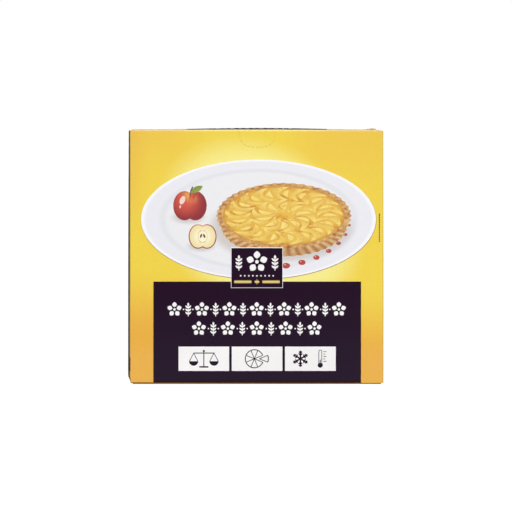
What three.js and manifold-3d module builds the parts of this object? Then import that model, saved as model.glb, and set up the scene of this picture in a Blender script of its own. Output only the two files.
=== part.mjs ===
// Shut folding carton of a frozen round tart, standing on its glued bottom flaps.
// Millimetres, +Z up. The front panel faces -Y and the origin is the middle of the base.

import * as THREE from 'three';
import Module from 'manifold-3d';
import { mergeVertices } from 'three/addons/utils/BufferGeometryUtils.js';

// Carton
const panelWidth = 281;
const cartonDepth = 40;
const foldHeight = 280.5;
const boardThickness = 0.5;
const foldRadius = 1.2;

// The filled pack swells a little between its folds.
const frontCrown = 1.2;
const sideCrown = 0.5;

// The right side and the rear left edge are squeezed in a little towards the top.
const topSqueeze = 0.5;

// Lower left edge, knocked in and deepest at the rear.
const frontDent = 1.1;
const rearDent = 3.3;
const dentHeight = 6.9;
const dentReach = 14;

// Closure flaps: the outer one folds back from the front panel, the inner one from the rear.
const flapEndGap = 3.5;
const topFlapRightGap = 7.5;
const bottomFlapGap = 2.5;
const outerFlapLip = 3;
const innerFlapLip = 9;
const flapCornerCut = 4;
const flapRoot = 5;

// The top closure stands a little above its folds and bows up over the tart.
const topLift = 0.7;
const liftRun = 3;
const topBow = 1.55;
const bowHalfSpan = 128;

// The loose right corner of its outer flap curls up towards the free edge.
const curlRise = 1.45;
const curlLength = 14;

// Press-in opening tab, cut through as dashes below the top front fold.
const tabCentre = 0.6;
const tabHalfWidth = 20;
const tabDrop = 18.7;
const tabSquareness = 0.7;
const dashCount = 13;
const dashLength = 3.6;
const dashWidth = 0.5;
const dashDepth = 0.6;

// Mesh fineness
const panelColumns = 28;
const sideColumns = 6;
const foldSteps = 3;
const sleeveRows = 28;
const bowedColumns = 28;
const flatColumns = 1;
const flapRows = 8;

const halfWidth = panelWidth / 2;
const halfDepth = cartonDepth / 2;
const sleeveBottom = 2 * boardThickness;
const sleeveTop = foldHeight - 2 * boardThickness;
const sleeveMiddle = (sleeveBottom + sleeveTop) / 2;
const sleeveHalfHeight = (sleeveTop - sleeveBottom) / 2;

const wasm = await Module();
wasm.setup();

function toSolid(geometry) {
  geometry.deleteAttribute('normal');
  geometry.deleteAttribute('uv');
  const merged = mergeVertices(geometry, 1e-4);
  const mesh = new wasm.Mesh({
    numProp: 3,
    vertProperties: merged.attributes.position.array,
    triVerts: new Uint32Array(merged.index.array),
  });
  return new wasm.Manifold(mesh);
}

function toGeometry(solid) {
  const mesh = solid.getMesh();
  const geometry = new THREE.BufferGeometry();
  geometry.setAttribute('position', new THREE.BufferAttribute(mesh.vertProperties, 3));
  geometry.setIndex(new THREE.BufferAttribute(mesh.triVerts, 1));
  geometry.computeVertexNormals();
  return geometry;
}

function moveVertices(geometry, place) {
  const position = geometry.attributes.position;
  const point = new THREE.Vector3();
  for (let i = 0; i < position.count; i += 1) {
    point.fromBufferAttribute(position, i);
    place(point);
    position.setXYZ(i, point.x, point.y, point.z);
  }
  return geometry;
}

// How far a fold of the given radius has dropped at a distance in from its outer corner.
function foldDrop(distance, radius) {
  const left = Math.max(radius - distance, 0);
  return radius - Math.sqrt(radius * radius - left * left);
}

function crown(u, v) {
  return Math.max(1 - u * u, 0) * Math.max(1 - v * v, 0);
}

function crownHeight(across, halfAcross, z, swell) {
  return swell * crown(across / halfAcross, (z - sleeveMiddle) / sleeveHalfHeight);
}

// How far a point has moved to the right with the squeezed top and the knocked edge.
function shiftAt(point) {
  const fromLeft = (point.x + halfWidth) / panelWidth;
  const fromFront = (point.y + halfDepth) / cartonDepth;
  const squeeze = topSqueeze * (point.z / foldHeight) ** 2;
  const depth = THREE.MathUtils.lerp(frontDent, rearDent, fromFront);
  const low = THREE.MathUtils.clamp(1 - (point.z - sleeveBottom) / dentHeight, 0, 1);
  const near = Math.max(1 - (point.x + halfWidth) / dentReach, 0);
  return squeeze * ((1 - fromLeft) * fromFront - fromLeft) + depth * low * near;
}

function liftAt(y) {
  return topLift * THREE.MathUtils.smoothstep(halfDepth - Math.abs(y), 0, liftRun);
}

// Plan of the sleeve, anticlockwise: four round folds with even points on the straight sides.
function sleeveOutline() {
  const corners = [
    { x: 1, y: -1, turn: -0.5, run: sideColumns },
    { x: 1, y: 1, turn: 0, run: panelColumns },
    { x: -1, y: 1, turn: 0.5, run: sideColumns },
    { x: -1, y: -1, turn: 1, run: panelColumns },
  ];
  const arcs = corners.map((corner) => {
    const centreX = corner.x * (halfWidth - foldRadius);
    const centreY = corner.y * (halfDepth - foldRadius);
    const start = corner.turn * Math.PI;
    const arc = new THREE.EllipseCurve(
      centreX, centreY, foldRadius, foldRadius, start, start + Math.PI / 2);
    return arc.getPoints(foldSteps);
  });
  const outline = [];
  arcs.forEach((arc, i) => {
    outline.push(...arc);
    const from = arc[foldSteps];
    const to = arcs[(i + 1) % arcs.length][0];
    for (let step = 1; step < corners[i].run; step += 1) {
      outline.push(from.clone().lerp(to, step / corners[i].run));
    }
  });
  return outline;
}

function sleeveSolid() {
  const geometry = new THREE.ExtrudeGeometry(new THREE.Shape(sleeveOutline()), {
    depth: 1,
    steps: sleeveRows,
    bevelEnabled: false,
  });
  moveVertices(geometry, (point) => {
    // Rows crowd towards both ends, where the folds and the dent are.
    const rise = 0.5 - 0.5 * Math.cos(Math.PI * point.z);
    const top = sleeveTop + liftAt(point.y);
    point.z = THREE.MathUtils.lerp(sleeveBottom, top, rise);
    const isFlatFace = Math.abs(point.y) > halfDepth - 0.01;
    const isFlatSide = Math.abs(point.x) > halfWidth - 0.01;
    const faceSwell = crownHeight(point.x, halfWidth, point.z, frontCrown);
    const sideSwell = crownHeight(point.y, halfDepth, point.z, sideCrown);
    const endDrop = foldDrop(Math.min(point.z - sleeveBottom, top - point.z), foldRadius);
    point.y += Math.sign(point.y) * ((isFlatFace ? faceSwell : 0) - endDrop);
    point.x += Math.sign(point.x) * ((isFlatSide ? sideSwell : 0) - endDrop);
    point.x += shiftAt(point);
  });
  return toSolid(geometry);
}

function closureHeight(x, y) {
  const alongX = Math.cos((Math.PI / 2) * Math.min(Math.abs(x) / bowHalfSpan, 1)) ** 2;
  const alongY = Math.cos((Math.PI / 2) * (y / halfDepth));
  return topBow * alongX * alongY + liftAt(y);
}

function curlHeight(x, y) {
  const flapEnd = halfWidth - topFlapRightGap;
  const along = THREE.MathUtils.smoothstep(x, flapEnd - curlLength, flapEnd);
  const fromFold = (y + halfDepth) / (cartonDepth - outerFlapLip);
  return curlRise * along * fromFold;
}

// A closure flap as a slab from inside the sleeve out to its printed face.
// faceHeight gives the face's distance out from the fold height for a place on the flap.
function flapSolid({ left, right, hinge, freeEdge, base, up, columns, faceHeight }) {
  const geometry = new THREE.BoxGeometry(1, 1, 1, columns, flapRows, 1);
  const direction = Math.sign(freeEdge - hinge);
  const turn = direction * up;
  moveVertices(geometry, (point) => {
    const across = 0.5 + turn * point.x;
    const along = (point.y + 0.5) ** 2;
    const isFace = point.z > 0;
    const reach = Math.abs(freeEdge - hinge) * along;
    const fromFreeEdge = Math.abs(freeEdge - hinge) - reach;
    const cornerCut = Math.max(flapCornerCut - fromFreeEdge, 0);
    point.x = THREE.MathUtils.lerp(left + cornerCut, right - cornerCut, across);
    point.y = hinge + direction * reach;
    const outward = isFace ? faceHeight(point.x, point.y) - foldDrop(reach, foldRadius) : -flapRoot;
    point.z = base + up * outward;
    point.x += shiftAt(point);
  });
  return toSolid(geometry);
}

// Half a squared-off ellipse hanging from the top front fold.
class TabCurve extends THREE.Curve {
  getPoint(t) {
    const angle = Math.PI * t;
    const side = -Math.sign(Math.cos(angle)) * Math.abs(Math.cos(angle)) ** tabSquareness;
    const down = Math.max(Math.sin(angle), 0) ** tabSquareness;
    return new THREE.Vector2(tabCentre + tabHalfWidth * side, foldHeight - tabDrop * down);
  }
}

function dashSolids() {
  const tabCurve = new TabCurve();
  const dashes = [];
  for (let i = 0; i < dashCount; i += 1) {
    const along = (i + 0.5) / dashCount;
    const centre = tabCurve.getPointAt(along);
    const tangent = tabCurve.getTangentAt(along);
    const dash = new THREE.BoxGeometry(dashLength, 2 * dashDepth, dashWidth);
    dash.rotateY(-Math.atan2(tangent.y, tangent.x));
    const face = -halfDepth - crownHeight(centre.x, halfWidth, centre.y, frontCrown);
    dash.translate(centre.x, face, centre.y);
    dashes.push(toSolid(dash));
  }
  return dashes;
}

function cartonGeometry() {
  const innerTop = flapSolid({
    left: -halfWidth + flapEndGap,
    right: halfWidth - flapEndGap,
    hinge: halfDepth,
    freeEdge: -halfDepth + innerFlapLip,
    base: foldHeight,
    up: 1,
    columns: bowedColumns,
    faceHeight: (x, y) => closureHeight(x, y) - boardThickness,
  });
  const outerTop = flapSolid({
    left: -halfWidth + flapEndGap,
    right: halfWidth - topFlapRightGap,
    hinge: -halfDepth,
    freeEdge: halfDepth - outerFlapLip,
    base: foldHeight,
    up: 1,
    columns: bowedColumns,
    faceHeight: (x, y) => closureHeight(x, y) + curlHeight(x, y),
  });
  const innerBottom = flapSolid({
    left: -halfWidth + flapEndGap,
    right: halfWidth - flapEndGap,
    hinge: halfDepth,
    freeEdge: -halfDepth + innerFlapLip,
    base: 0,
    up: -1,
    columns: flatColumns,
    faceHeight: () => -boardThickness,
  });
  const outerBottom = flapSolid({
    left: -halfWidth + bottomFlapGap,
    right: halfWidth - bottomFlapGap,
    hinge: -halfDepth,
    freeEdge: halfDepth - outerFlapLip,
    base: 0,
    up: -1,
    columns: flatColumns,
    faceHeight: () => 0,
  });
  let solid = sleeveSolid();
  [innerTop, outerTop, innerBottom, outerBottom].forEach((flap) => {
    solid = solid.add(flap);
  });
  dashSolids().forEach((dash) => {
    solid = solid.subtract(dash);
  });
  return toGeometry(solid);
}

const printedBoard = new THREE.MeshStandardMaterial({
  color: 0xecc04c,
  roughness: 0.45,
  metalness: 0,
});

const carton = new THREE.Mesh(cartonGeometry(), printedBoard);
carton.name = 'carton';

const group = new THREE.Group();
group.add(carton);

export default group;
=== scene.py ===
import math

import bpy
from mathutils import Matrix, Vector
from mathutils.geometry import delaunay_2d_cdt


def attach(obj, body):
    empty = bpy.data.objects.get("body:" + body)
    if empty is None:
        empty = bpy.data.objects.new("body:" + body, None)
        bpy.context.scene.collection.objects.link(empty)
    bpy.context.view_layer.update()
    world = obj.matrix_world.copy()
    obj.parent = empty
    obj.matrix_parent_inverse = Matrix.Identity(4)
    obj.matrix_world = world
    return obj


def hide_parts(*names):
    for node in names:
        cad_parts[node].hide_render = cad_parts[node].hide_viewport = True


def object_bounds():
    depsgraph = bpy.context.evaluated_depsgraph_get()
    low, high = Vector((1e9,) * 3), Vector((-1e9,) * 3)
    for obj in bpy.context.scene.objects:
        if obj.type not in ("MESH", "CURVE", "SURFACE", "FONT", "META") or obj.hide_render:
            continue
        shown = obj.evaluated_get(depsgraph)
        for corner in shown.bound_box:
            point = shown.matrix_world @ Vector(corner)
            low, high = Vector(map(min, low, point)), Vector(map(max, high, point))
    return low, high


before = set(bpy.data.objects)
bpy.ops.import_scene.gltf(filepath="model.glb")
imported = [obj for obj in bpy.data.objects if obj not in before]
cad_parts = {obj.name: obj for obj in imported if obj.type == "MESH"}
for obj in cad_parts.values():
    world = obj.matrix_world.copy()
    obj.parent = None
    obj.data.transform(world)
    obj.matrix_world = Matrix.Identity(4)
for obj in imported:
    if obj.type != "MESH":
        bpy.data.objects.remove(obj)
cadLow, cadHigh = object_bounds()
mm = 0.001


# sizes of the board carton, in millimetres

carton = {
    "frontCrown": 1.2,  # swell of the front and back panels
    "sideCrown": 0.5,
    "rightSwell": 0.4,  # what is left of it where the right side is widest
    "board": 0.5,
    "sleeveFold": 1.2,  # radius of the upright folds
    "flapFold": 1.0,
    "topLift": 0.7,  # the top closure stands above its folds
    "liftRun": 3,
    "topBow": 1.55,
    "bowExtra": 0.12,  # how much more the board bows than the plain solid
    "bowCentre": 3,
    "bowHalfSpan": 128,
    "curlRise": 1.45,  # loose right corner of the top flap
    "curlLength": 14,
    "topSqueeze": 0.5,  # the right side and the rear left edge come in towards the top
    "frontDent": 1.1,  # knocked lower left edge, deepest at the rear
    "rearDent": 3.3,
    "dentHeight": 6.9,
    "dentReach": 14,
    "flapEndGap": 3.5,
    "topRightGap": 7.5,
    "bottomGap": 2.5,
    "outerLip": 3,
    "innerLip": 9,
    "cornerCut": 4,
    "inkStep": 0.05,  # how far each colour lies over the one below
    "inkDepth": 1.4,  # and how thick it is, in steps
    "topInk": 2.5,  # steps are this much thicker on the top, so that the flap's facets stay under them
    "inkSpacing": 14,  # from point to point, where a face is nearly flat
}
halfWidth = round(cadHigh.x / mm - carton["rightSwell"], 1)
halfDepth = round(cadHigh.y / mm - carton["frontCrown"], 1)
foldHeight = round(cadHigh.z / mm - carton["topBow"] - carton["topLift"], 1)
board = carton["board"]
rimLow = 2 * board
rimHigh = foldHeight - 2 * board
rimMiddle = (rimLow + rimHigh) / 2
rimHalf = (rimHigh - rimLow) / 2


def lerp(low, high, share):
    return low + (high - low) * share


def smooth(value, low, high):
    t = min(max((value - low) / (high - low), 0), 1)
    return t * t * (3 - 2 * t)


def crown(across, halfAcross, up, swell):
    u = across / halfAcross
    v = (up - rimMiddle) / rimHalf
    return swell * max(1 - u * u, 0) * max(1 - v * v, 0)


def lift(y):
    return carton["topLift"] * smooth(halfDepth - abs(y), 0, carton["liftRun"])


def bow(x, y):
    fromCentre = min(abs(x - carton["bowCentre"]) / carton["bowHalfSpan"], 1)
    rise = (carton["topBow"] + carton["bowExtra"]) * math.cos(math.pi / 2 * fromCentre) ** 2
    return rise * math.cos(math.pi / 2 * y / halfDepth) + lift(y)


def curl(x, y):
    end = halfWidth - carton["topRightGap"]
    rise = smooth(x, end - carton["curlLength"], end)
    return carton["curlRise"] * rise * (y + halfDepth) / (2 * halfDepth - carton["outerLip"])


def bent(point):
    # the same point of the squeezed and knocked pack
    x, y, z = point
    fromLeft = (x + halfWidth) / (2 * halfWidth)
    fromFront = (y + halfDepth) / (2 * halfDepth)
    squeeze = carton["topSqueeze"] * (z / foldHeight) ** 2 * ((1 - fromLeft) * fromFront - fromLeft)
    depth = lerp(carton["frontDent"], carton["rearDent"], fromFront)
    low = min(max(1 - (z - rimLow) / carton["dentHeight"], 0), 1)
    near = max(1 - (x + halfWidth) / carton["dentReach"], 0)
    return x + squeeze + depth * low * near, y, z


# Each face maps (across, up, out), seen from outside, to a place in the carton.
def onFront(across, up, out):
    return across, -halfDepth - crown(across, halfWidth, up, carton["frontCrown"]) - out, up


def onBack(across, up, out):
    return -across, halfDepth + crown(across, halfWidth, up, carton["frontCrown"]) + out, up


def onRight(across, up, out):
    return bent((halfWidth + crown(across, halfDepth, up, carton["sideCrown"]) + out, across, up))


def onLeft(across, up, out):
    return bent((-halfWidth - crown(across, halfDepth, up, carton["sideCrown"]) - out, -across, up))


def onTop(across, up, out):
    return bent((across, up, foldHeight + bow(across, up) + curl(across, up) + out * carton["topInk"]))


def onBottom(across, up, out):
    return across, -up, -out


def addObject(name, data):
    made = bpy.data.objects.new(name, data)
    bpy.context.scene.collection.objects.link(made)
    return made


# camera

view = {
    "distance": 14.0,
    "azimuth": -3.1,
    "elevation": 0.7,
    "roll": 0.05,
    "sensor": 36,
    "frameWidth": 0.5668,  # of the view at the carton, in metres
    "aim": (0.00027, 0.0, 0.1412),
}
cameraData = bpy.data.cameras.new("viewCamera")
cameraData.sensor_width = view["sensor"]
cameraData.lens = view["sensor"] * view["distance"] / view["frameWidth"]
cameraData.clip_end = 200
camera = addObject("viewCamera", cameraData)
bpy.context.scene.camera = camera
turn = math.radians(view["azimuth"])
rise = math.radians(view["elevation"])
away = Vector((math.sin(turn) * math.cos(rise), -math.cos(turn) * math.cos(rise), math.sin(rise)))
camera.location = Vector(view["aim"]) + away * view["distance"]
camera.rotation_euler = (-away).to_track_quat("-Z", "Y").to_euler()
camera.rotation_euler.rotate_axis("Z", math.radians(view["roll"]))
print("camera set")


# node tools

def hexColour(code):
    channels = [int(code[i:i + 2], 16) / 255 for i in (0, 2, 4)]
    linear = [c / 12.92 if c <= 0.04045 else ((c + 0.055) / 1.055) ** 2.4 for c in channels]
    return (*linear, 1)


def grey(value):
    return (value, value, value, 1)


class Wire:
    # one output socket, so that sums are written as plain expressions
    def __init__(self, finish, socket):
        self.finish = finish
        self.socket = socket

    def to(self, operation, *values):
        return self.finish.maths(operation, self, *values)

    def __add__(self, other):
        return self.to("ADD", other)

    def __radd__(self, other):
        return self.finish.maths("ADD", other, self)

    def __sub__(self, other):
        return self.to("SUBTRACT", other)

    def __rsub__(self, other):
        return self.finish.maths("SUBTRACT", other, self)

    def __mul__(self, other):
        return self.to("MULTIPLY", other)

    def __rmul__(self, other):
        return self.finish.maths("MULTIPLY", other, self)

    def __truediv__(self, other):
        return self.to("DIVIDE", other)

    def __rtruediv__(self, other):
        return self.finish.maths("DIVIDE", other, self)

    def __abs__(self):
        return self.to("ABSOLUTE")

    def step(self, start, end):
        # 0 at start and 1 at end, which may be the lower of the two, easing in between
        inputs = {"Value": self, "From Min": min(start, end), "From Max": max(start, end)}
        ramp = self.finish.node("ShaderNodeMapRange", {"interpolation_type": "SMOOTHSTEP"}, inputs)
        return ramp if start < end else 1 - ramp


class Finish:
    # one material, or the world, and the nodes it is made of
    def __init__(self, name, holder=None, ending="ShaderNodeOutputMaterial"):
        self.material = holder or bpy.data.materials.new(name)
        self.material.use_nodes = True
        self.tree = self.material.node_tree
        self.tree.nodes.clear()
        self.ending = ending

    def node(self, kind, settings=(), inputs=(), output=0):
        # a colour may be given as its six-figure code; an ending has no output
        raw = self.tree.nodes.new(kind)
        for key, value in dict(settings).items():
            setattr(raw, key, value)
        for key, value in dict(inputs).items():
            if isinstance(value, Wire):
                self.tree.links.new(value.socket, raw.inputs[key])
            else:
                raw.inputs[key].default_value = hexColour(value) if isinstance(value, str) else value
        return Wire(self, raw.outputs[output]) if raw.outputs else None

    def show(self, shader):
        self.node(self.ending, (), {0: shader})
        return self.material

    def maths(self, operation, *values):
        return self.node("ShaderNodeMath", {"operation": operation}, enumerate(values))

    def spot(self):
        return self.node("ShaderNodeTexCoord", output="Object")

    def place(self, axes):
        # where a point of the carton is along these axes, in millimetres
        return [self.node("ShaderNodeSeparateXYZ", (), {0: self.spot()}, axis) / mm for axis in axes]

    def noise(self, size, detail, rough=0.5, stretch=(1, 1, 1)):
        # soft random values between about 0.3 and 0.7, with blobs of that size in millimetres
        scale = tuple(s / mm / size for s in stretch)
        scaled = self.node("ShaderNodeVectorMath", {"operation": "MULTIPLY"}, {0: self.spot(), 1: scale})
        inputs = {"Vector": scaled, "Scale": 1.0, "Detail": detail, "Roughness": rough}
        return self.node("ShaderNodeTexNoise", (), inputs)

    def patches(self, low, high, size, detail, rough=0.5, stretch=(1, 1, 1)):
        # blobs of noise, cut between two of its values
        return self.noise(size, detail, rough, stretch).step(low, high)

    def mix(self, share, first, second, way="MIX"):
        settings = {"data_type": "RGBA", "blend_type": way}
        return self.node("ShaderNodeMix", settings, {0: share, 6: first, 7: second}, 2)

    def coats(self, colours, *shares):
        # the first colour, with each of the others laid over it by its share
        coat = colours[0]
        for share, colour in zip(shares, colours[1:]):
            coat = self.mix(share, coat, colour)
        return coat

    def varnish(self, colours, *shares, roughness=0.42, scuff=0.06, bump=0.35, specular=0.3):
        look = varnishLook
        light, heavy = [grey(value) for value in look["mottle"]]
        mottle = self.mix(self.noise(look["mottleSize"], 4.0, 0.6), light, heavy)
        tinted = self.mix(look["mottleShare"], self.coats(colours, *shares), mottle, "MULTIPLY")
        scuffed = roughness + scuff * (self.noise(look["scuffSize"], 3.0, 0.6) - 0.5) * 2
        fibre = self.noise(look["fibreSize"], 2.0, 0.6, stretch=(1, 1, 0.5))
        relief = fibre * look["fibreHeight"] + self.noise(look["waveSize"], 1.0, 0.4) * look["waveHeight"]
        surface = self.node("ShaderNodeBump", (), {"Strength": bump, "Distance": mm, "Height": relief})
        inputs = {"Base Color": tinted, "Roughness": scuffed, "Normal": surface}
        inputs["Specular IOR Level"] = specular
        return self.show(self.node("ShaderNodeBsdfPrincipled", (), inputs))


def distance(x, z, centre, radii):
    # from the centre of an ellipse, as a share of its radii
    across = (x - centre[0]) / radii[0]
    up = (z - centre[1]) / radii[1]
    return (across * across + up * up).to("SQRT")


# semi-gloss varnish over every print; sizes and heights in millimetres
varnishLook = {
    "mottle": (0.62, 1.35),  # its lightest and heaviest
    "mottleShare": 0.10,
    "mottleSize": 3.0,
    "scuffSize": 22.0,
    "fibreSize": 0.9,
    "fibreHeight": 0.02,
    "waveSize": 70.0,
    "waveHeight": 0.5,
}


# mesh tools

def makeMesh(name, points, faces, materials, slots):
    # points in millimetres; slots gives each face's material
    mesh = bpy.data.meshes.new(name)
    mesh.from_pydata([tuple(c * mm for c in p) for p in points], [], faces)
    for material in materials:
        mesh.materials.append(material)
    mesh.polygons.foreach_set("material_index", slots)
    return mesh


def addPiece(name, points, faces, materials, slots, sharp=35):
    mesh = makeMesh(name, points, faces, materials, slots)
    mesh.shade_smooth()
    mesh.set_sharp_from_angle(angle=math.radians(sharp))
    mesh.validate()
    piece = addObject(name, mesh)
    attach(piece, "root")
    return piece


def thickFaces(sheet, count):
    # the front, back and rim of a thin sheet, whose points are the front's and then the back's
    edges = {edge for face in sheet for edge in zip(face, face[1:] + face[:1])}
    rim = [(b, a, a + count, b + count) for a, b in edges if (b, a) not in edges]
    return sheet + [tuple(i + count for i in face[::-1]) for face in sheet] + rim


def between(start, end, share):
    # the point at this share of the way
    return lerp(start[0], end[0], share), lerp(start[1], end[1], share)


def offset(start, angle, along, across=0.0):
    # the point so far along a line that leaves start at an angle in degrees, and so far to its left
    turnX, turnY = math.cos(math.radians(angle)), math.sin(math.radians(angle))
    return start[0] + along * turnX - across * turnY, start[1] + along * turnY + across * turnX


def heading(start, end):
    # the angle of a line in degrees
    return math.degrees(math.atan2(end[1] - start[1], end[0] - start[0]))


def split(outline, spacing):
    # an outline with no side longer than spacing
    points = []
    for start, end in zip(outline, outline[1:] + outline[:1]):
        steps = max(math.ceil(math.dist(start, end) / spacing), 1)
        points += [between(start, end, i / steps) for i in range(steps)]
    return points


def signedArea(outline):
    return sum(a[0] * b[1] - b[0] * a[1] for a, b in zip(outline, outline[1:] + outline[:1])) / 2


inkSpacings = {onTop: 3, onLeft: 4, onRight: 4}


def addInk(name, shapes, material, layer, onFace=onFront, holes=()):
    # one colour of print: a thin closed layer of flat shapes that follows the face
    spacing = inkSpacings.get(onFace, carton["inkSpacing"])
    outlines = [split(o if signedArea(o) > 0 else o[::-1], spacing) for o in [*shapes, *holes]]
    flat, loops = [], []
    for outline in outlines:
        loops.append(list(range(len(flat), len(flat) + len(outline))))
        flat += outline
    low, high = [[pick(p[axis] for p in flat) for axis in (0, 1)] for pick in (min, max)]
    columns, rows = [math.ceil((high[axis] - low[axis]) / spacing) for axis in (0, 1)]
    flat += [(low[0] + i * spacing, low[1] + j * spacing) for i in range(1, columns) for j in range(1, rows)]
    spots, _, triangles, _, _, owners = delaunay_2d_cdt([Vector(p) for p in flat], [], loops, 0, 1e-5)
    kept = [tuple(t) for t, owner in zip(triangles, owners) if owner and max(owner) < len(shapes)]
    used = sorted({i for t in kept for i in t})
    order = {old: new for new, old in enumerate(used)}
    kept = [tuple(order[i] for i in t) for t in kept]
    count = len(used)
    step = carton["inkStep"]
    points = [onFace(*spots[i], out * step) for out in (layer, layer - carton["inkDepth"]) for i in used]
    faces = thickFaces(kept, count)
    return addPiece(name, points, faces, [material], [0] * len(faces))


# flat shapes

def ellipse(centre, radii, points, tilt=0.0, ripple=0.0, ripples=0):
    outline = []
    for i in range(points):
        angle = 2 * math.pi * i / points
        swell = 1 + ripple * math.cos(ripples * angle)
        along, across = radii[0] * swell * math.cos(angle), radii[1] * swell * math.sin(angle)
        outline.append(offset(centre, tilt, along, across))
    return outline


def disc(centre, radius, points):
    return ellipse(centre, (radius, radius), points)


def roundBox(low, high, radius=0.0, steps=4):
    corners = [high, (low[0], high[1]), low, (high[0], low[1])]
    if radius == 0:
        return corners
    middle = between(low, high, 0.5)
    outline = []
    for k, (x, y) in enumerate(corners):
        centre = (x - math.copysign(radius, x - middle[0]), y - math.copysign(radius, y - middle[1]))
        outline += [offset(centre, 90 * (k + i / steps), radius) for i in range(steps + 1)]
    return outline


def bar(start, end, width):
    angle = heading(start, end)
    near, far = [[offset(spot, angle, 0, side * width / 2) for side in (-1, 1)] for spot in (start, end)]
    return [near[0], far[0], far[1], near[1]]


def petal(root, length, width, angle, points=7):
    # a pointed leaf from its root, along angle in degrees
    outline = []
    for side in (1, -1):
        for i in range(points):
            t = i / points if side == 1 else 1 - i / points
            outline.append(offset(root, angle, t * length, side * width / 2 * math.sin(math.pi * t) ** 0.8))
    return outline


def band(centre, radius, width, start, end, steps):
    # part of a ring, from one angle to another in degrees
    angles = [lerp(start, end, i / steps) for i in range(steps + 1)]
    outer, inner = [[offset(centre, a, radius + side * width / 2) for a in angles] for side in (1, -1)]
    return outer + inner[::-1]


# board finishes

groundLook = {
    # amber, a deeper one a little above the foot, yellow, and the pale glow
    "ground": ("EAB046", "EAAE3A", "F0D242", "F7EC8C"),
    "deepHeights": ((28, 52), (220, 130)),
    "lean": 0.09,  # the print is this much further on for each step to the right
    "risingHeights": (40, 122),  # from amber to yellow
    "fallingHeights": (205, 292),  # and some of the way back at the upper corners
    "cornerFall": (0.45, 0.1),  # how far at the left one, and how much less at the right one
    "leftFall": 0.42,  # further back along the left edge
    "offPanel": 0.55,  # how much of the yellow the sides and the top have
    "glowCentre": (4, 174),
    "glowLean": 0.25,  # how far the glow leans left for each step up
    "glowReach": (107, 70),
    "wornHighlight": ("FFF3B8", "EFD6B2", "ECCC84"),  # rubbed pale, with a painted highlight: the top fold, its ends, and the upright folds
    "rightFoldShadeColour": "C49A4E",  # painted shade on the right fold
    "footShadeColour": ("8E6226", "6A360A"),  # painted shade along the foot, from left to right
    "footShadeHeights": (2.0, 1.5, 1.0),  # left of the dark block, under it and right of it
    "footShadeReach": (8, 4),  # under the foot
    "leftFoldShadeColour": "4A2606",  # painted shade on the left fold a little above the foot
    "leftFoldShade": (11, 32),
    "strengths": (0.78, 0.6, 0.85, 0.92),  # of the worn fold highlight, and of the painted shade on the right fold, on the left fold and along the foot
}
inkLook = {
    "dark": ("1F021F", "241529", "22100F"),  # painted light makes it bluer and lighter towards the foot, painted shade browner along it
    "darkHeights": ((112, 0), (5.5, 3.0)),
    "side": ("4C1638", "421934", "38180C", "1C0C04"),  # browner towards the foot, and darker still low down as painted shade
    "sideHeights": ((160, 70), (32, 28)),
    "white": ("F8F5F5", "F3F0F0", 60),  # and the size of its drift
    "cut": ("C9A845", "BD9C3E", "F0D050"),  # darker as painted shade in the slits, closed up and hardly seen near the fold
    "cutHeights": (268, 274),
    "rawBoard": ("C9BFA8", "EFE9DA"),  # pale liner with grey-brown fibres
}


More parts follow.
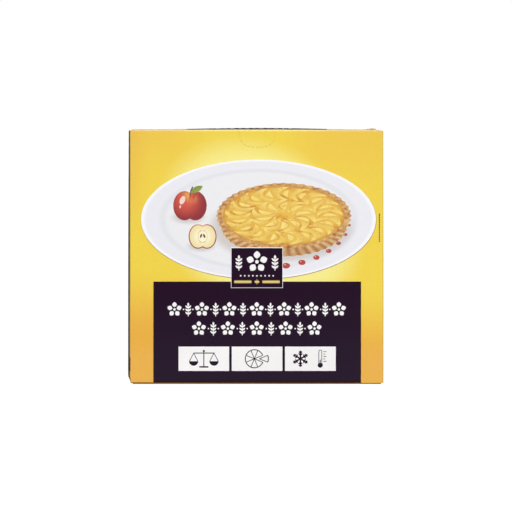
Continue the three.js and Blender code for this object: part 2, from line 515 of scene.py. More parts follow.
def yellowFinish():
    look = groundLook
    finish = Finish("yellowPrint")
    x, y, z = finish.place("XYZ")
    onPanel = abs(y).step(halfDepth - 2, halfDepth - 1)
    height = z + look["lean"] * x
    cornerFall, rightLess = look["cornerFall"]
    corner = cornerFall - rightLess * x.step(30, 90)
    falling = 1 - corner * height.step(*look["fallingHeights"]) * abs(x + 10).step(30, 95)
    leftEdge = x.step(-116, -140) * z.step(150, 240)
    share = height.step(*look["risingHeights"]) * falling * (1 - look["leftFall"] * leftEdge)
    share = share * (look["offPanel"] + (1 - look["offPanel"]) * onPanel)
    above, below = look["deepHeights"]
    leaning = x + (z - look["glowCentre"][1]) * look["glowLean"]
    glow = distance(leaning, z, look["glowCentre"], (1.1, 1)).step(*look["glowReach"])
    lit = finish.coats(look["ground"], z.step(*above) * z.step(*below), share, glow * onPanel)
    # varnish rubbed pale along the folds, with a painted highlight on them, browner at the ends of the top
    # one
    toSide = halfWidth - abs(x)
    toFace = halfDepth - abs(y)
    toEnd = (foldHeight - z).to("MINIMUM", z)
    upright = toSide.to("MAXIMUM", toFace)
    crossFold = toEnd.to("MAXIMUM", toFace) * (1 - 0.55 * z.step(foldHeight - 0.6, foldHeight))
    rubHighlight = upright.to("MINIMUM", crossFold).step(1.5, 0.2) * finish.patches(0.25, 0.6, 5.0, 4.0, 0.7)
    rubHighlight = rubHighlight * z.step(2, 12) * x.step(halfWidth - 1.2, halfWidth - 2.5)
    wornHighlight = finish.coats(look["wornHighlight"], abs(x).step(55, 105), upright.step(2.4, 1.6))
    # painted shade along the right fold
    rightFoldShade = x.step(halfWidth - 1.5, halfWidth - 0.6)
    # painted shade on the left fold, a little above the foot
    low, high = look["leftFoldShade"]
    leftFoldShade = x.step(1.1 - halfWidth, 0.6 - halfWidth) * z.step(low, low + 5) * z.step(high, high - 5)
    leftFoldShade = leftFoldShade * y.step(3.0 - halfDepth, 1.0 - halfDepth) * finish.patches(0.25, 0.5, 3.0, 4.0, 0.7)
    # painted shade along the foot fold, browner and rougher there
    left, under, right = look["footShadeHeights"]
    footShadeTop = under + (left - under) * x.step(-80, -112) - (under - right) * x.step(114, 118)
    footShade = (z - footShadeTop).step(0.15, -0.15) * finish.patches(0.1, 0.4, 9.0, 3.0, 0.6)
    footShade = footShade * toFace.to("MINIMUM", toSide).step(*look["footShadeReach"])
    footShadeColour = finish.coats(look["footShadeColour"], x.step(-110, 60))
    colours = (lit, wornHighlight, look["rightFoldShadeColour"], look["leftFoldShadeColour"], footShadeColour)
    shares = [mask * strength for mask, strength in zip((rubHighlight, rightFoldShade, leftFoldShade, footShade), look["strengths"])]
    roughness = 0.42 + 0.45 * footShade + 0.2 * z.step(foldHeight - 0.3, foldHeight + 0.3)
    return finish.varnish(colours, *shares, roughness=roughness, specular=0.25)


def plainFinish(name, colour, drift, size):
    # one ink whose depth drifts slowly from one colour to the other
    finish = Finish(name)
    return finish.varnish((colour, drift), finish.patches(0.3, 0.7, size, 2.0))


def darkFinish():
    # solid aubergine, lighter and bluer towards the foot as painted light, browner along the foot as painted
    # shade
    finish = Finish("darkPrint")
    z = finish.place("Z")[0]
    lighter, browner = inkLook["darkHeights"]
    shares = (z.step(*lighter), z.step(*browner) * 0.7)
    return finish.varnish(inkLook["dark"], *shares, roughness=0.40, specular=0.07)


def sideFinish():
    # the left side's aubergine, browner towards the foot and darkest low down with painted shade
    finish = Finish("sideDark")
    z = finish.place("Z")[0]
    browner, lowShade = inkLook["sideHeights"]
    shares = (finish.patches(0.3, 0.7, 60.0, 2.0), z.step(*browner), z.step(*lowShade))
    return finish.varnish(inkLook["side"], *shares, roughness=0.45, specular=0.04)


def cutFinish():
    # board in the cuts of the opening tab, painted darker as shade in the slits
    finish = Finish("shadedCutEdge")
    z = finish.place("Z")[0]
    shares = (finish.patches(0.3, 0.7, 8.0, 2.0), z.step(*inkLook["cutHeights"]) * 0.75)
    return finish.varnish(inkLook["cut"], *shares, roughness=0.7, specular=0.1)


def boardEdgeFinish():
    finish = Finish("boardEdge")
    fibres = finish.patches(0.35, 0.65, 0.6, 4.0, 0.7, stretch=(1, 1, 3))
    return finish.varnish(inkLook["rawBoard"], fibres, roughness=0.8, scuff=0.05, bump=0.6, specular=0.2)


yellow = yellowFinish()
dark = darkFinish()
sideDark = sideFinish()
white = plainFinish("whitePrint", *inkLook["white"])
boardEdge = boardEdgeFinish()
shadedCutEdge = cutFinish()
print("board finishes made")


# sleeve: four panels round the pack, glued down the rear left edge

sleeve = {
    "columns": 40,
    "sideColumns": 10,
    "foldSteps": 6,
    "rows": 44,
    "fineEnds": (0.5, 1.0, 1.8, 2.2, 2.6, 5.8, 6.3, 6.7),  # extra columns, from each end of a panel
    "seamInset": 0.9,  # the back panel's free edge stops this far from the corner
    "seamStep": 0.48,
    "sideStop": 0.8,  # how far the sides stop short of the rims
    "rimDepth": 1.2,
    "shoulder": 1.1,  # how far the panels stand up beyond the ends of the top flaps
    "shoulderRun": 0.4,
    "shoulderEnd": (0.4, 2.2),  # it is rounded off this far from the corners
    "perforations": 13,
    "perforationSize": (3.6, 0.3),
    "tabCentre": 0.6,
    "tabSize": (20, 18.7),
    "tabSquareness": 0.7,
}


def sleevePlan():
    steps = sleeve["foldSteps"]
    arcs = []
    for k, (signX, signY) in enumerate([(1, -1), (1, 1), (-1, 1), (-1, -1)]):
        isSeam = signX < 0 < signY
        inset = board if isSeam else 0
        radius = carton["sleeveFold"] - inset
        centre = (signX * (halfWidth - radius), signY * (halfDepth - radius - inset))
        arc = [offset(centre, 90 * (k - 1 + i / steps), radius) for i in range(steps + 1)]
        if isSeam:
            edge = sleeve["seamInset"] - halfWidth
            arc = [(edge, halfDepth), (edge, halfDepth - sleeve["seamStep"])] + arc
        arcs.append(arc)
    plan = []
    for k, arc in enumerate(arcs):
        start, end = arc[-1], arcs[(k + 1) % 4][0]
        isPanel = k % 2 == 1
        count = sleeve["columns" if isPanel else "sideColumns"]
        stops = [i / count for i in range(1, count)]
        if isPanel:
            # finer by the ends of the flaps, where the panels stand up
            fine = [edge / abs(end[0] - start[0]) for edge in sleeve["fineEnds"]]
            stops += fine + [1 - share for share in fine]
        plan += arc + [between(start, end, share) for share in sorted(stops)]
    return plan


def sleevePoint(x, y, z):
    # the plan's point at a height, with the panels' swell
    if abs(y) > halfDepth - 0.01:
        y += math.copysign(crown(x, halfWidth, z, carton["frontCrown"]), y)
    if abs(x) > halfWidth - 0.01:
        x += math.copysign(crown(y, halfDepth, z, carton["sideCrown"]), x)
    return bent((x, y, z))


def footRim(y):
    # where a panel stops: short at the sides, and at the back by the board's thickness
    if abs(y) < halfDepth - carton["sleeveFold"] / 2:
        return rimLow + sleeve["sideStop"]
    return rimLow + (board if y > 0 else 0)


def topRim(x, y):
    # the same at the top, but standing up beyond the ends of the flaps
    if abs(y) < halfDepth - carton["sleeveFold"] / 2:
        return rimHigh - sleeve["sideStop"] + lift(y)
    lower = board if y > 0 else 0
    rightGap = carton["flapEndGap"] if y > 0 else carton["topRightGap"]
    beyond = max(x - halfWidth + rightGap, carton["flapEndGap"] - halfWidth - x)
    shoulder = smooth(beyond, 0, sleeve["shoulderRun"]) * smooth(halfWidth - abs(x), *sleeve["shoulderEnd"])
    return rimHigh - lower + sleeve["shoulder"] * shoulder


def insideSleeve(x, y, z):
    return bent((x * (halfWidth - board) / halfWidth, y * (halfDepth - board) / halfDepth, z))


def makeSleeve():
    plan = sleevePlan()
    count = len(plan)
    rings = [[insideSleeve(x, y, rimLow + sleeve["rimDepth"]) for x, y in plan],
             [insideSleeve(x, y, footRim(y)) for x, y in plan]]
    for row in range(sleeve["rows"] + 1):
        rise = 0.5 - 0.5 * math.cos(math.pi * row / sleeve["rows"])
        rings.append([sleevePoint(x, y, lerp(footRim(y), topRim(x, y), rise)) for x, y in plan])
    rings += [[insideSleeve(x, y, topRim(x, y)) for x, y in plan],
              [insideSleeve(x, y, rimHigh - sleeve["rimDepth"]) for x, y in plan]]
    faces, slots = [], []
    for r in range(len(rings) - 1):
        low, high = r * count, (r + 1) * count
        for i in range(count):
            j = (i + 1) % count
            faces.append((low + i, low + j, high + j, high + i))
            slots.append(0 if 2 <= r < len(rings) - 3 else 1)
    faces += [tuple(range(count))[::-1], tuple(range((len(rings) - 1) * count, len(rings) * count))]
    points = [p for ring in rings for p in ring]
    return addPiece("sleeve", points, faces, [yellow, boardEdge], slots + [1, 1], sharp=50)


sleeveBody = makeSleeve()
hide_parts("carton")
print("sleeve folded")


# opening tab: short cuts through the front panel

def tabCurve(fine=400):
    # half a squared-off ellipse, hanging from the top fold
    (wide, drop), squareness = sleeve["tabSize"], sleeve["tabSquareness"]
    curve = []
    for i in range(fine + 1):
        angle = math.pi * i / fine
        side = math.copysign(abs(math.cos(angle)) ** squareness, -math.cos(angle))
        down = max(math.sin(angle), 0) ** squareness
        curve.append((sleeve["tabCentre"] + wide * side, foldHeight - drop * down))
    return curve


def cutTab():
    # each dash is a small block cut out of the sleeve
    long, thin = sleeve["perforationSize"]
    count = sleeve["perforations"]
    curve = tabCurve()
    along = [0]
    for a, b in zip(curve, curve[1:]):
        along.append(along[-1] + math.dist(a, b))
    flat = []
    for k in range(count):
        i = next(n for n, length in enumerate(along) if length >= along[-1] * (k + 0.5) / count)
        ahead = heading(curve[i - 1], curve[i])
        flat += bar(offset(curve[i], ahead, -long / 2), offset(curve[i], ahead, long / 2), thin)
    points = [onFront(a, u, out) for out in (1, -board) for a, u in flat]
    faces = thickFaces([tuple(range(n, n + 4)) for n in range(0, len(flat), 4)], len(flat))
    sleeveBody.data.materials.append(shadedCutEdge)
    mesh = makeMesh("tabCutter", points, faces, sleeveBody.data.materials, [2] * len(faces))
    cutter = addObject("tabCutter", mesh)
    modifier = sleeveBody.modifiers.new("tab", "BOOLEAN")
    modifier.object = cutter
    modifier.operation = "DIFFERENCE"
    modifier.solver = "EXACT"
    cut = sleeveBody.evaluated_get(bpy.context.evaluated_depsgraph_get())
    shaped = bpy.data.meshes.new_from_object(cut)
    sleeveBody.modifiers.clear()
    sleeveBody.data = shaped
    bpy.data.objects.remove(cutter)


cutTab()
print("opening tab cut")


# flaps

flaps = {
    "columns": 90,
    "foldSteps": 6,
    "rows": 14,
    "dustReach": 34,
    "dustInset": 0.8,  # from the panels at both of its ends
}


def flapSection(reach, under):
    # the flap from its fold inwards, this far under its face, as (inwards, outwards)
    radius, steps, rows = carton["flapFold"], flaps["foldSteps"], flaps["rows"]
    fold = [offset((radius, -radius), 180 - 90 * i / steps, radius - under) for i in range(steps + 1)]
    return fold + [(lerp(radius, reach, i / rows), -under) for i in range(1, rows + 1)]


def addFlap(name, low, high, reach, onFlap):
    # board that folds off a panel and runs inwards: onFlap maps (along the fold, inwards, outwards)
    columns = flaps["columns"]
    width = columns + 1
    points = []
    for under in (0, board):
        for inwards, outwards in flapSection(reach, under):
            trim = max(carton["cornerCut"] - (reach - inwards), 0)
            start, end = low + trim, high - trim
            points += [onFlap(lerp(start, end, i / columns), inwards, outwards) for i in range(width)]
    half = len(points) // 2
    corners = [a for a in range(half - width) if a % width < columns]
    sheet = [(a, a + 1, a + width + 1, a + width) for a in corners]
    faces = thickFaces(sheet, half)
    slots = [0] * len(sheet) + [1] * (len(faces) - len(sheet))
    # the faces are turned over where onFlap mirrors them
    first = [Vector(points[i]) for i in faces[flaps["foldSteps"] * columns][:3]]
    normal = (first[1] - first[0]).cross(first[2] - first[0])
    middle = (low + high) / 2
    if normal.dot(Vector(onFlap(middle, reach / 2, 1)) - Vector(onFlap(middle, reach / 2, 0))) < 0:
        faces = [f[::-1] for f in faces]
    return addPiece(name, points, faces, [yellow, boardEdge], slots, sharp=40)


def closureFlap(isOuter, isTop):
    # the outer flaps fold back from the front panel, and the inner ones forward, a board lower
    def onFlap(place, inwards, outwards):
        y = inwards - halfDepth if isOuter else halfDepth - inwards
        out = outwards if isOuter else outwards - board
        if not isTop:
            return bent((place, y, -out))
        curled = curl(place, y) if isOuter else 0
        return bent((place, y, foldHeight + out + bow(place, y) + curled))
    return onFlap


def dustFlap(side, isTop):
    def onFlap(place, inwards, outwards):
        z = rimHigh + lift(place) + outwards if isTop else rimLow - outwards
        return bent((side * (halfWidth - inwards), place, z))
    return onFlap


def addFlaps():
    outer, inner = [2 * halfDepth - carton[lip] for lip in ("outerLip", "innerLip")]
    end = halfWidth - carton["flapEndGap"]
    footEnd = halfWidth - carton["bottomGap"]
    dustEnd = halfDepth - flaps["dustInset"]
    topEnd = halfWidth - carton["topRightGap"]
    addFlap("topOuterFlap", -end, topEnd, outer, closureFlap(isOuter=True, isTop=True))
    addFlap("topInnerFlap", -end, end, inner, closureFlap(isOuter=False, isTop=True))
    addFlap("footOuterFlap", -footEnd, footEnd, outer, closureFlap(isOuter=True, isTop=False))
    addFlap("footInnerFlap", -end, end, inner, closureFlap(isOuter=False, isTop=False))
    for side, sideName in ((-1, "Left"), (1, "Right")):
        for endName in ("top", "foot"):
            onFlap = dustFlap(side, endName == "top")
            addFlap(endName + "DustFlap" + sideName, -dustEnd, dustEnd, flaps["dustReach"], onFlap)


addFlaps()
print("flaps folded")


# motifs in flat ink, each a list of outlines

def scaled(centre, size):
    # a place round the centre, in shares of the size
    return lambda across, up: (centre[0] + across * size, centre[1] + up * size)


def blossom(centre, size):
    # open flower with a gap between its petals and its eye
    shapes = []
    for angle in range(90, 450, 72):
        shapes.append(petal(offset(centre, angle, 0.30 * size), size * 0.70, size * 0.62, angle))
    return shapes + [disc(centre, size * 0.17, 16)]


def sprig(centre, size, angle=90):
    # a straight stem with three pairs of leaves and one at its tip
    root = offset(centre, angle, -size)
    tip = offset(centre, angle, size * 0.45)
    shapes = [bar(root, tip, size * 0.12), petal(tip, size * 0.55, size * 0.30, angle)]
    for k in range(3):
        spot = offset(root, angle, (k + 0.55) / 3 * 1.40 * size)
        shapes += [petal(spot, size * 0.58, size * 0.26, angle + side * 48) for side in (-1, 1)]
    return shapes


def dots(start, end, count, radius):
    return [disc(between(start, end, k / (count - 1)), radius, 12) for k in range(count)]


def garland(start, end, count, size):
    # blossoms and sprigs by turns along a line, with a dot between
    upright = abs(end[1] - start[1]) > abs(end[0] - start[0])
    shapes = []
    for k in range(count):
        spot = between(start, end, k / (count - 1))
        shapes += sprig(spot, size * 0.92, 0 if upright else 90) if k % 2 else blossom(spot, size)
    for k in range(count - 1):
        gap = 0.34 if k % 2 else 0.66  # nearer the sprig
        shapes.append(disc(between(start, end, (k + gap) / (count - 1)), size * 0.10, 12))
    return shapes


def balanceMark(centre, size, line):
    # two-pan kitchen balance
    at = scaled(centre, size)
    shapes = [bar(at(0, -1), at(0, 0.95), line), bar(at(-0.55, -1), at(0.55, -1), line * 1.6),
              bar(at(-1.3, 0.7), at(1.3, 0.7), line), disc(at(0, 0.95), line * 1.2, 16)]
    for side in (-1.25, 1.25):
        for lean in (-0.52, 0.52):
            shapes.append(bar(at(side, 0.7), at(side + lean, -0.30), line * 0.7))
        shapes.append(band(at(side, -0.30), size * 0.28, size * 0.56, 180, 360, 12))
    return shapes


def wheelMark(centre, size, line):
    # round tart cut in eight, one piece drawn out
    shapes = [band(centre, size, line, 22.5, 337.5, 48)]
    shapes += [bar(centre, offset(centre, 22.5 + 45 * k, size), line * 0.8) for k in range(8)]
    drawn = offset(centre, 0, size * 0.55)
    shapes.append(band(drawn, size, line, -22.5, 22.5, 10))
    return shapes + [bar(drawn, offset(drawn, angle, size), line * 0.8) for angle in (-22.5, 22.5)]


def frostMark(centre, size, line):
    # six-armed ice crystal
    shapes = []
    for angle in range(30, 390, 60):
        shapes.append(bar(centre, offset(centre, angle, size), line))
        for reach, length in ((0.45, 0.30), (0.72, 0.24)):
            spot = offset(centre, angle, size * reach)
            for lean in (-52, 52):
                shapes.append(bar(spot, offset(spot, angle + lean, size * length), line * 0.8))
    return shapes


def coldMark(centre, size, line):
    # thermometer low on its scale
    at = scaled(centre, size)
    shapes = [disc(at(0, -0.75), size * 0.30, 24), bar(at(0, -0.7), at(0, -0.1), line),
              band(at(0, 0.85), size * 0.17, line * 0.7, 0, 180, 12)]
    shapes += [bar(at(side, -0.7), at(side, 0.85), line * 0.7) for side in (-0.17, 0.17)]
    for k in range(5):
        height = 0.28 * k - 0.3
        shapes.append(bar(at(0.36, height), at(0.56 if k % 2 else 0.72, height), line * 0.7))
    return shapes


# front picture: a whole tart on a white platter, with fruit beside it

picture = {
    "platter": (2, 182),
    "platterRadii": (130, 66),
    "edgeShift": (0.2, -0.55),  # of the brown line round the platter
    "edgeGrowth": (0.35, 0.25),
    "tart": (30, 186),
    "tartRadii": (74, 36),
    "wall": 11,
    "wallFoot": 0.94,  # as a share of the tart's radius, as the rim and the slices are
    "flutes": 44,
    "fluteDepths": (0.012, 0.014),  # of the wall's foot and the rim
    "rimWidth": 0.085,
    "outerSlices": (17, 0.50, 0.885, 0.80, 0.0),  # count, from, to, how full and how far turned
    "innerSlices": (10, 0.13, 0.50, 0.86, 0.3),
    "fruit": (-74, 197),
    "fruitSize": 18,
    "halfFruit": (-60, 163),
    "halfFruitSize": 15,
    "halfFruitSkin": 1.1,
    "coreLine": 0.45,
    "drops": 7,
    "dropPath": (0.715, 0.80),  # shares of the platter's radii
    "dropShift": 8,
    "dropAngles": (-76, 11.5),  # the first, and from one to the next
    "dropSizes": (4.4, -0.42),
}
pictureColours = {
    # well, rim, dip and edge, and the shade by the tart and by each fruit
    "platter": ("ECECEE", "EAEAF0", "DBDCE4", "FBFBFE", "B9AAA2", "B4A6A4", "B4A6A4"),
    "crustWall": ("B67A41", "EBC98F", "A5632F", "8E5A33"),  # dent, flute, baked, low
    "crustRim": ("E0AD62", "9A5429", "F0CE8C"),  # pale, baked, flute
    "custard": ("EABD48", "D4902E", "B9742F"),  # pale, baked, by the rim
    "slices": ("F9E384", "E2B443", "F0CA55", "DC9A3A", "BC7830"),  # two edges, soft, toasted, freckled
    "skin": ("D2503F", "8E2029", "E9B45A"),  # middle, rim, streaks
    "flesh": ("FBF3D3", "F0DFA4"),
}
plainColours = {
    # a colour, the one it drifts to, and the size of the drift
    "platterEdge": ("A07C4C", "AE8A58", 40),
    "stalkBrown": ("6B4A2C", "7E5A36", 8),
    "leafGreen": ("7E8F3C", "9AA84E", 8),
    "gleam": ("F6D9CF", "F2C9BC", 12),
    "coreLine": ("D8B868", "CDAA5A", 8),
    "seedBrown": ("5A3420", "70452A", 6),
    "sauceRed": ("C04A38", "A93A30", 14),
    "sauceGleam": ("F0B8A2", "E8A890", 14),
}
plainInks = {name: plainFinish(name, *look) for name, look in plainColours.items()}


def onTart(radius, angle, lower=0.0):
    # a place on the tart as the viewer sees it, slanted away
    (x, z), radii = picture["tart"], picture["tartRadii"]
    return x + radii[0] * radius * math.cos(angle), z - lower + radii[1] * radius * math.sin(angle)


def platterFinish():
    # glazed white, with a soft step where it dips and soft shade by what stands on it
    finish = Finish("platterWhite")
    x, z = finish.place("XZ")
    out = distance(x, z, picture["platter"], picture["platterRadii"])
    dip = out.step(0.77, 0.815) * out.step(0.87, 0.82)
    tart = picture["tart"]
    under = distance(x, z, (tart[0] - 3, tart[1] - picture["wall"] - 2), picture["tartRadii"])
    shares = [out.step(0.80, 0.90), dip * 0.55, out.step(0.955, 0.985) * 0.8, under.step(1.16, 0.94) * 0.55]
    for name in ("fruit", "halfFruit"):
        centre, size = picture[name], picture[name + "Size"]
        under = distance(x, z, (centre[0] - 2, centre[1] - size * 0.72), (size * 1.05, size * 0.42))
        shares.append(under.step(1.25, 0.5) * 0.5)
    return finish.varnish(pictureColours["platter"], *shares)


def tartAngle(x, z, lower=0.0):
    centre, radii = picture["tart"], picture["tartRadii"]
    return ((z - (centre[1] - lower)) / radii[1]).to("ARCTAN2", (x - centre[0]) / radii[0])


def crustFinish(name):
    # baked pastry, pale in its flutes and brown where it stood proud
    finish = Finish(name)
    x, z = finish.place("XZ")
    isRim = name == "crustRim"
    angle = tartAngle(x, z, 0 if isRim else picture["wall"] / 2)
    flute = (angle * picture["flutes"]).to("COSINE") * 0.5 + 0.5
    baked = finish.patches(0.35, 0.66, 7.0, 4.0, 0.65)
    low = z.step(picture["tart"][1] - 22, picture["tart"][1] - 48)
    shares = (baked, flute * 0.35) if isRim else (flute, baked * 0.45, low * 0.35)
    return finish.varnish(pictureColours[name], *shares)


def custardFinish():
    finish = Finish("bakedCustard")
    x, z = finish.place("XZ")
    out = distance(x, z, picture["tart"], picture["tartRadii"])
    baked = finish.patches(0.42, 0.68, 11.0, 4.0, 0.65)
    return finish.varnish(pictureColours["custard"], baked, out.step(0.80, 0.93) * 0.6)


def sliceFinish(name, count, turned):
    # cooked slices: bright along one edge, honey-coloured along the other, toasted in patches
    finish = Finish(name)
    x, z = finish.place("XZ")
    across = (tartAngle(x, z) * (count / (2 * math.pi)) + turned).to("FRACT")
    soft = finish.patches(0.4, 0.65, 16.0, 2.0) * 0.35
    toasted = finish.patches(0.53, 0.70, 10.0, 4.0, 0.6) * 0.6
    out = distance(x, z, picture["tart"], picture["tartRadii"])
    freckle = finish.patches(0.52, 0.70, 3.5, 4.0, 0.7) * out.step(0.5, 0.9) * 0.8
    return finish.varnish(pictureColours["slices"], across, soft, toasted, freckle)


def skinFinish(name, centre, size):
    # red skin, streaked with gold round the stalk and darker at the rim
    finish = Finish(name)
    x, z = finish.place("XZ")
    at = scaled(centre, size)
    out = distance(x, z, at(-0.25, 0.3), (size, size))
    stalk = distance(x, z, at(0, 0.75), (size, size))
    streak = stalk.step(0.85, 0.1) * finish.patches(0.35, 0.65, 3.0, 3.0, 0.6, stretch=(1, 1, 0.25)) * 0.8
    return finish.varnish(pictureColours["skin"], out.step(0.2, 1.25), streak)


def fleshFinish():
    finish = Finish("fruitFlesh")
    x, z = finish.place("XZ")
    size = picture["halfFruitSize"]
    out = distance(x, z, picture["halfFruit"], (size, size * 0.9))
    return finish.varnish(pictureColours["flesh"], out.step(0.3, 0.95))


def fruitOutlines(centre, size, grow=0.0):
    # two rounds side by side, so that the top and the foot dip
    at = scaled(centre, size)
    return [ellipse(at(side, 0), (size * 0.70 + grow, size * 0.90 + grow), 40) for side in (-0.33, 0.33)]


def sliceOutline(low, high, lead, spread, steps=10):
    # one half-moon slice, lying along a curve that swings round the tart
    outline = []
    for side in (0, 1):
        for i in range(steps + 1):
            t = 1 - i / steps if side else i / steps
            radius = lerp(low, high, t)
            swing = 0.35 * (high - low) * math.sin(math.pi * t) / max(radius, 0.2)
            wide = spread * math.sin(math.pi * (0.06 + 0.90 * t)) ** 0.55
            outline.append(onTart(radius, lead + swing + side * wide))
    return outline


def printTart():
    centre, radii, flutes = picture["tart"], picture["tartRadii"], picture["flutes"]
    wallDepth, rimDepth = picture["fluteDepths"]
    steps = flutes * 3  # round each half of the tart
    body = [onTart(0.99, math.pi * i / steps) for i in range(steps + 1)]
    for i in range(steps + 1):
        angle = math.pi + math.pi * i / steps
        fluted = 1 + wallDepth * math.cos(flutes * angle)
        body.append(onTart(picture["wallFoot"] * fluted, angle, picture["wall"]))
    addInk("tartCrustWall", [body], crustFinish("crustWall"), 3)
    inside = 1 - picture["rimWidth"]
    rim = ellipse(centre, radii, 2 * steps, 0, rimDepth, flutes)
    shares = (inside, inside + 0.01)
    well, bed = [ellipse(centre, (radii[0] * share, radii[1] * share), 120) for share in shares]
    addInk("tartCrustRim", [rim], crustFinish("crustRim"), 5, holes=[well])
    addInk("tartCustard", [bed], custardFinish(), 4)
    for ring in ("outer", "inner"):
        count, low, high, fill, turned = picture[ring + "Slices"]
        share = 2 * math.pi / count
        slices = [sliceOutline(low, high, share * (k + turned), share * fill) for k in range(count)]
        addInk("tartSlices." + ring, slices, sliceFinish(ring + "Slices", count, 1 - turned), 5)


def printFruit():
    centre, size = picture["fruit"], picture["fruitSize"]
    at = scaled(centre, size)
    addInk("wholeFruit", fruitOutlines(centre, size), skinFinish("fruitSkin", centre, size), 3)
    stalk = [at(0.02 + 0.16 * t * t, 0.62 + 0.55 * t) for t in (0, 0.35, 0.7, 1)]
    stalkBars = [bar(a, b, size * 0.09) for a, b in zip(stalk, stalk[1:])]
    addInk("fruitStalk", stalkBars, plainInks["stalkBrown"], 4)
    leaf = petal(stalk[1], size * 0.85, size * 0.36, 28)
    addInk("fruitLeaf", [leaf], plainInks["leafGreen"], 5)
    glints = [ellipse(at(-0.46, 0.34), (size * 0.16, size * 0.27), 24, -24),
              ellipse(at(-0.60, -0.06), (size * 0.05, size * 0.10), 16, -8)]
    addInk("fruitGleam", glints, plainInks["gleam"], 4)


def printHalfFruit():
    half, size = picture["halfFruit"], picture["halfFruitSize"]
    at = scaled(half, size)
    addInk("halfFruitSkin", fruitOutlines(half, size), skinFinish("halfSkin", half, size), 4)
    addInk("halfFruitFlesh", fruitOutlines(half, size, -picture["halfFruitSkin"]), fleshFinish(), 5)
    line = picture["coreLine"]
    core = [band(half, size * 0.42, line, middle - 30, middle + 30, 8) for middle in (90, 270)]
    for side, middle in ((0.28, 180), (-0.28, 0)):
        core.append(band(at(side, 0), size * 0.62, line, middle - 52, middle + 52, 16))
    addInk("halfFruitCore", core, plainInks["coreLine"], 6)
    seeds = []
    for side in (-1, 1):
        root = (half[0] + side * 0.8, half[1] + size * 0.20)
        seeds.append(petal(root, size * 0.34, size * 0.15, side * 22 - 90))
    addInk("halfFruitSeeds", seeds, plainInks["seedBrown"], 6)


def printDrops():
    # sauce set down in a row of shrinking drops round the platter's right
    (x, z), radii = picture["platter"], picture["platterRadii"]
    across, up = [share * radius for share, radius in zip(picture["dropPath"], radii)]
    drops, glints = [], []
    for k in range(picture["drops"]):
        angle, size = [first + k * change for first, change in (picture["dropAngles"], picture["dropSizes"])]
        turned = math.radians(angle)
        spot = (x + across * math.cos(turned) + picture["dropShift"], z + up * math.sin(turned))
        drops.append(ellipse(spot, (size, size * 0.72), 32))
        glints.append(ellipse(scaled(spot, size)(-0.3, 0.25), (size * 0.24, size * 0.14), 12))
    addInk("sauceDrops", drops, plainInks["sauceRed"], 3)
    addInk("sauceGleam", glints, plainInks["sauceGleam"], 4)


def printPlatter():
    centre, radii = picture["platter"], picture["platterRadii"]
    edgeCentre = [place + shift for place, shift in zip(centre, picture["edgeShift"])]
    edgeRadii = [radius + growth for radius, growth in zip(radii, picture["edgeGrowth"])]
    addInk("platterEdge", [ellipse(edgeCentre, edgeRadii, 160)], plainInks["platterEdge"], 1)
    addInk("platter", [ellipse(centre, radii, 160)], platterFinish(), 2)


printPlatter()
printTart()
printFruit()
printHalfFruit()
printDrops()
print("front picture printed")


# front labels: dark block, badge, ornament and mark boxes

labels = {
    "block": ((-114.3, 1.4), (115.6, 113.2)),
    "badge": ((-28.55, 106.13), (28.87, 151.12)),
    "badgeLine": 0.5,
    "badgeTopLine": 0.9,
    "badgeBlossom": (135.0, 12.0),  # height and size
    "badgeSprigs": (20.0, 134.0, 8.6),  # from the middle, height and size
    "badgeDots": (18, 119.6, 9, 0.9),  # to each side, height, count and radius
    "rule": (5.0, 3.6),  # height over the badge's foot, and width
    "gold": ("8C7432", "E8D27A"),  # along its edges and its middle
    "ruleInset": 3,
    "ruleGap": 6,
    "rows": ((91, 82.4, 13), (64, 61.2, 9)),  # to each side, height and count
    "rowSize": 8.2,
    "boxes": ((-86.5, -30.5), (-27.6, 28.5), (31.3, 87.6)),
    "boxHeights": (14.4, 41.3),
    "markLine": 1.0,
    "markSizes": (9.0, 10.0, 9.0, 9.5),  # balance, wheel, crystal and thermometer
    "wheelShift": 3,  # to the left, to make room for the piece drawn out
    "storeShift": 11,  # of the two marks that share a box
    "edgeDots": ((135.9, 157.8), (135.9, 187.8), 17, 0.72),
}


def goldFinish(low, width):
    # a printed gold rule, brighter along its middle
    finish = Finish("goldPrint")
    z = finish.place("Z")[0]
    middle = (z - (low + width / 2)) / (width / 2)
    return finish.varnish(labels["gold"], abs(middle).step(1.0, 0.1), roughness=0.34)


def printBadge():
    low, high = labels["badge"]
    line = labels["badgeLine"]
    middle = (low[0] + high[0]) / 2
    addInk("badgeFrame", [roundBox(low, high)], white, 7)
    inner = roundBox((low[0] + line, low[1] + line), (high[0] - line, high[1] - labels["badgeTopLine"]))
    addInk("badge", [inner], dark, 8)
    foot, width = labels["rule"]
    foot += low[1]
    gap, inset = labels["ruleGap"], line + labels["ruleInset"]
    ends = [(low[0] + inset, middle - gap), (middle + gap, high[0] - inset)]
    rules = [roundBox((start, foot), (end, foot + width), 1.0) for start, end in ends]
    rules.append(disc((middle, foot + width / 2), gap / 2, 4))
    addInk("badgeRules", rules, goldFinish(foot, width), 9)
    height, size = labels["badgeBlossom"]
    motif = blossom((middle, height), size)
    reach, height, size = labels["badgeSprigs"]
    for side in (-1, 1):
        motif += sprig((middle + side * reach, height), size)
    reach, height, count, radius = labels["badgeDots"]
    motif += dots((middle - reach, height), (middle + reach, height), count, radius)
    addInk("badgeBlossom", motif, white, 9)


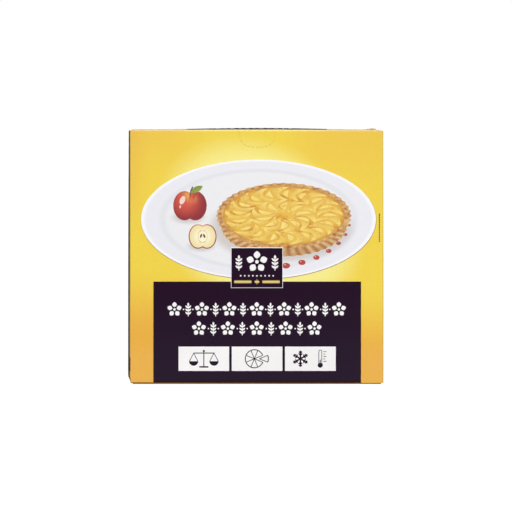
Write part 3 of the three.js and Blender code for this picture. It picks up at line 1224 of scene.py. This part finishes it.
def printBoxes():
    bottom, top = labels["boxHeights"]
    addInk("markBoxes", [roundBox((start, bottom), (end, top)) for start, end in labels["boxes"]], white, 7)
    weight, pieces, store = [((start + end) / 2, (bottom + top) / 2) for start, end in labels["boxes"]]
    line, shift = labels["markLine"], labels["storeShift"]
    balance, wheel, frost, cold = labels["markSizes"]
    marks = balanceMark(weight, balance, line)
    marks += wheelMark((pieces[0] - labels["wheelShift"], pieces[1]), wheel, line)
    marks += frostMark((store[0] - shift, store[1]), frost, line * 1.7)
    marks += coldMark((store[0] + shift, store[1]), cold, line)
    addInk("boxMarks", marks, dark, 8)


def printLabels():
    addInk("titleBlock", [roundBox(*labels["block"])], dark, 6)
    printBadge()
    rows = []
    for reach, height, count in labels["rows"]:
        rows += garland((-reach, height), (reach, height), count, labels["rowSize"])
    addInk("titleOrnament", rows, white, 7)
    printBoxes()
    addInk("edgeDots", dots(*labels["edgeDots"]), dark, 1)


printLabels()
print("front labels printed")


# top, side, back and underside prints

others = {
    "topBlock": ((-77, -17), (78, 13)),
    # from and to, with how many motifs and their size
    "topRows": (((-42, -7), (38, -7), 11, 3.0), ((-60, 4.5), (60, 4.5), 13, 4.6)),
    "leftBlock": ((-16, 14.4), (9.5, 262)),
    "leftRow": ((-3, 236), (-3, 252), 2, 6.0),
    "leftRules": ((-14, 32), (7.5, 224), 58, 1.0),  # corners, how many lines and how thick
    "rightBlock": ((-16, 190), (16, 262)),
    "rightRow": ((0, 206), (0, 246), 3, 9.0),
    "rightPanel": ((-15, 24), (15, 176)),
    "rightRules": ((-12, 28), (12, 172), 36, 0.5),
    "backBlock": ((-115, 206), (115, 262)),
    "backRow": ((-91, 234), (91, 234), 13, 9.0),
    "backPanel": ((-115, 30), (12, 188)),
    "backRules": ((-109, 36), (6, 182), 30, 0.7),
    "backBoxes": (26, 115),
    "boxFoot": 30,
    "boxHeight": 49,
    "boxStep": 54.5,
    "boxMark": (15.0, 1.3),  # size and line
    "footBlock": ((-112, -9), (24, 11)),
    "footRow": ((-100, 1), (12, 1), 13, 5.0),
    "footPanel": ((36, -9), (112, 11)),
    "rounding": {"right": 1.5, "back": 2, "foot": 1.5},  # of the white panels' corners
}


def ruled(low, high, count, width):
    # evenly spaced thin lines, every fourth one short
    shapes = []
    for k in range(count):
        height = lerp(low[1], high[1], (k + 0.5) / count)
        end = high[0] if k % 4 else lerp(low[0], high[0], 0.62)
        shapes.append(bar((low[0], height), (end, height), width))
    return shapes


def printBackBoxes():
    (start, end), tall = others["backBoxes"], others["boxHeight"]
    boxes, marks = [], []
    for k, draw in enumerate((balanceMark, wheelMark, frostMark)):
        bottom = others["boxFoot"] + others["boxStep"] * k
        shift = 2 * labels["wheelShift"] if draw is wheelMark else 0
        boxes.append(roundBox((start, bottom), (end, bottom + tall), others["rounding"]["back"]))
        marks += draw(((start + end) / 2 - shift, bottom + tall / 2), *others["boxMark"])
    addInk("backBoxes", boxes, white, 1, onBack)
    addInk("backMarks", marks, dark, 2, onBack)


def printOthers():
    rows = garland(*others["topRows"][0]) + garland(*others["topRows"][1])
    addInk("topBlock", [roundBox(*others["topBlock"])], dark, 1, onTop)
    addInk("topOrnament", rows, white, 2, onTop)
    faces = {"left": onLeft, "right": onRight, "back": onBack, "foot": onBottom}
    for place, onFace in faces.items():
        blockInk, ruleInk = (sideDark, white) if place == "left" else (dark, dark)
        addInk(place + "Block", [roundBox(*others[place + "Block"])], blockInk, 1, onFace)
        addInk(place + "Ornament", garland(*others[place + "Row"]), white, 2, onFace)
        if place in others["rounding"]:
            panel = roundBox(*others[place + "Panel"], others["rounding"][place])
            addInk(place + "Panel", [panel], white, 1, onFace)
        if place + "Rules" in others:
            addInk(place + "Rules", ruled(*others[place + "Rules"]), ruleInk, 2, onFace)
        if place == "back":
            printBackBoxes()


printOthers()
print("other panels printed")


# floor and light

studio = {
    "skyBright": 0.34,  # soft light from the front and above
    "skyDim": 0.04,  # and from low behind
    "skySource": (0.1, -0.8, 0.6),
    "skyFade": -0.6,  # dimmest from where the cosine to the source is this
    "frontSun": (2.95, (0.30, -1.0, 0.46), 35),  # strength, direction it comes from, softness in degrees
    "rearSun": (2.8, (0.35, 1.0, 0.25), 45),
    "floorReach": 60000,  # millimetres
    "floorDrop": 0.2,
    "floorBounce": 0.07,
    "floorGreys": (0.90, 0.94),
    "floorGlow": (1.05, 0.96),  # its strength, and how evenly white it makes the floor look
}


def addSun(name, strength, source, softness, glossy=True):
    data = bpy.data.lights.new(name, "SUN")
    data.energy = strength
    data.angle = math.radians(softness)
    lamp = addObject(name, data)
    lamp.rotation_euler = Vector(source).to_track_quat("Z", "Y").to_euler()
    lamp.visible_glossy = glossy


def floorFinish():
    finish = Finish("paleFloor")
    seen = finish.node("ShaderNodeLightPath", output="Is Camera Ray")
    darker, lighter = [grey(value) for value in studio["floorGreys"]]
    strength, evenness = studio["floorGlow"]
    pale = finish.mix(finish.noise(40.0, 2.0), darker, lighter)
    matt = finish.node("ShaderNodeBsdfDiffuse", (), {"Color": pale})
    even = finish.node("ShaderNodeEmission", (), {"Color": "FFFFFF", "Strength": strength})
    white = finish.node("ShaderNodeMixShader", (), {0: evenness, 1: matt, 2: even})
    # light bounced off the floor is weaker than what the camera sees, so the pack's sides keep their shade
    soft = finish.node("ShaderNodeBsdfDiffuse", (), {"Color": grey(studio["floorBounce"])})
    return finish.show(finish.node("ShaderNodeMixShader", (), {0: seen, 1: soft, 2: white}))


def addFloor():
    far = studio["floorReach"]
    corners = [(-far, -far, 0), (far, -far, 0), (far, far, 0), (-far, far, 0)]
    floor = addObject("floor", makeMesh("floor", corners, [(0, 1, 2, 3)], [floorFinish()], [0]))
    floor.location.z = -studio["floorDrop"] * mm


def lightStudio():
    world = bpy.data.worlds.new("studio")
    bpy.context.scene.world = world
    sky = Finish("studio", world, "ShaderNodeOutputWorld")
    # dimmer low behind the pack, brighter in front and above
    direction = sky.node("ShaderNodeTexCoord", output="Generated")
    inputs = {0: direction, 1: Vector(studio["skySource"]).normalized()}
    toward = sky.node("ShaderNodeVectorMath", {"operation": "DOT_PRODUCT"}, inputs, "Value")
    inputs = {"Value": toward, "From Min": studio["skyFade"]}
    inputs |= {"To Min": studio["skyDim"], "To Max": studio["skyBright"]}
    glow = sky.node("ShaderNodeMapRange", (), inputs)
    # the camera itself sees plain white
    seen = sky.node("ShaderNodeLightPath", output="Is Camera Ray")
    strength = sky.node("ShaderNodeMapRange", (), {"Value": seen, "To Min": glow, "To Max": 1.0})
    sky.show(sky.node("ShaderNodeBackground", (), {"Color": "FFFFFF", "Strength": strength}))
    addSun("frontSun", *studio["frontSun"])
    addSun("rearSun", *studio["rearSun"], glossy=False)
    bpy.context.scene.view_settings.view_transform = "Standard"


addFloor()
lightStudio()
print("studio lit")
